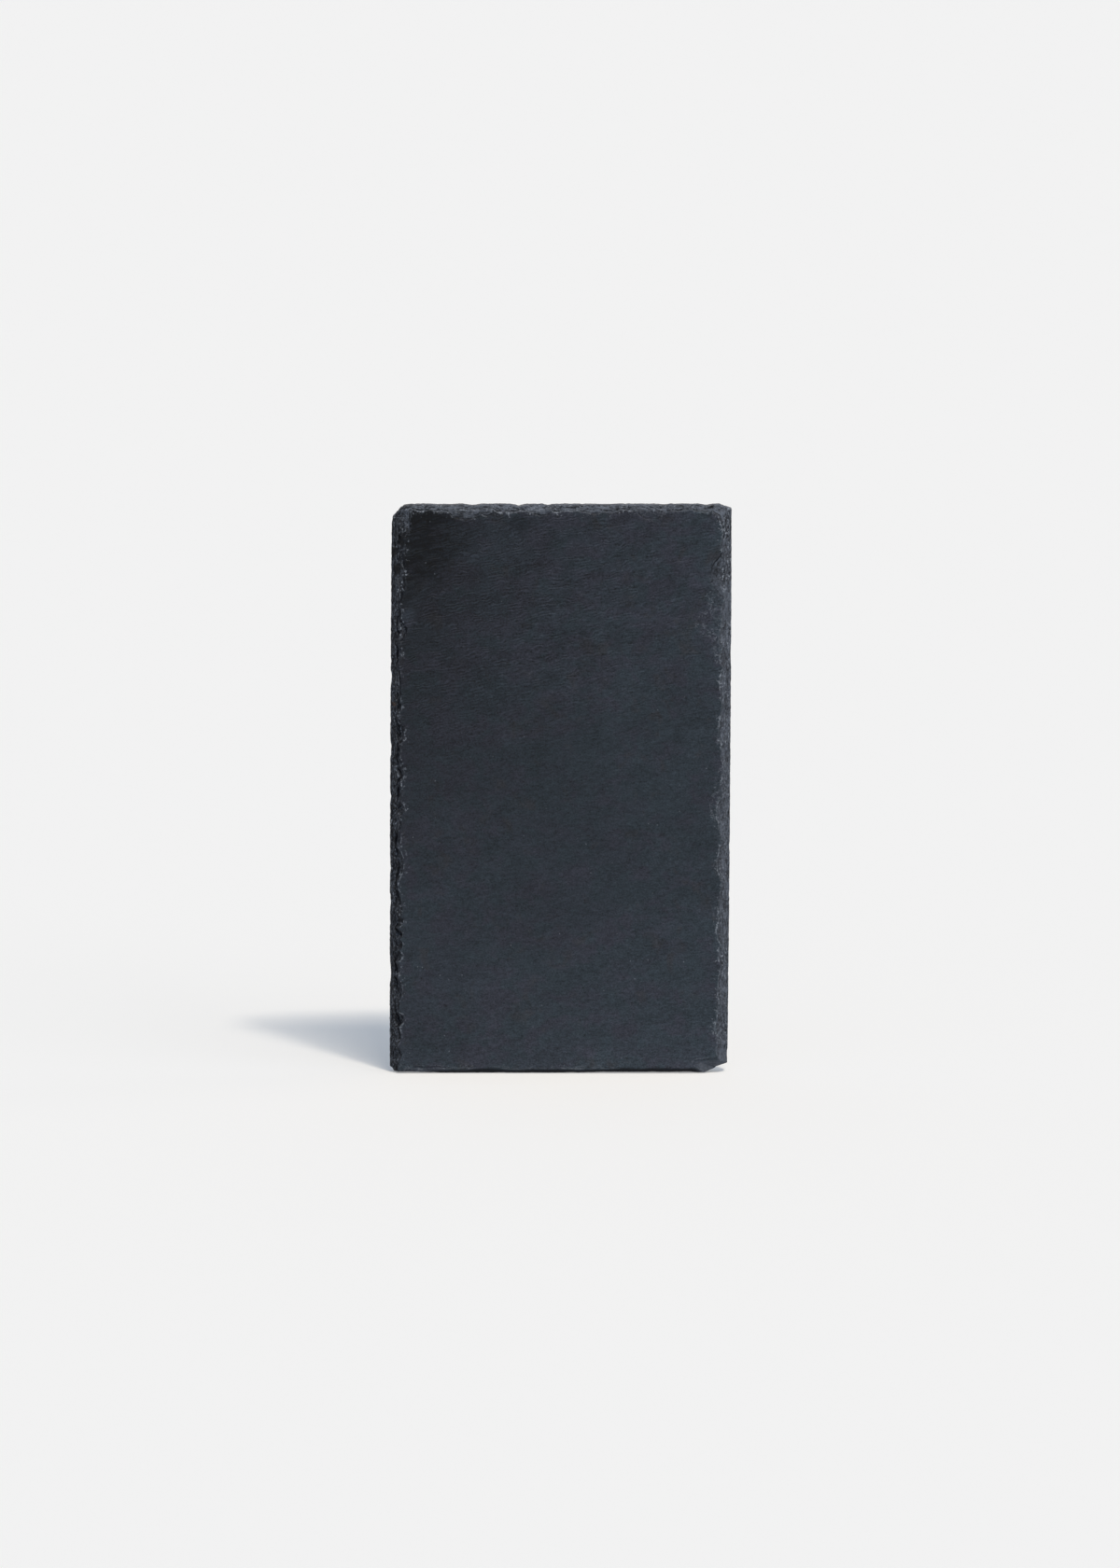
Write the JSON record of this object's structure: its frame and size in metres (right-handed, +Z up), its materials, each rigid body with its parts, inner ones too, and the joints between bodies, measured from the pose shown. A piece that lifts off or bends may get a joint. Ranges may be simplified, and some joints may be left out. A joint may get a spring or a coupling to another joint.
{
  "type": "stone serving board",
  "caption": "Rectangular slate board with hand-chipped bevelled edges and small rubber feet stuck to its back, for serving food on or for leaning upright as a plaque.",
  "frame": {"origin": "middle of the whole board's box at its lowest point, where the lower short edge stands on a surface, as in the picture", "axes": "+Z up the long side, +X to the right as the serving face is looked at, and the serving face looks along -Y, so the feet on the back point along +Y"},
  "size_m": [0.131, 0.0104, 0.22],
  "materials": {
    "slate": "matte",
    "adhesive": "satin",
    "rubber": "matte"
  },
  "bodies": {
    "root": {"slate_slab": "slate", "adhesive_upper_left": "adhesive", "adhesive_upper_right": "adhesive", "adhesive_lower_left": "adhesive", "adhesive_lower_right": "adhesive", "foot_upper_left": "rubber", "foot_upper_right": "rubber", "foot_lower_left": "rubber", "foot_lower_right": "rubber"}
  },
  "joints": []
}
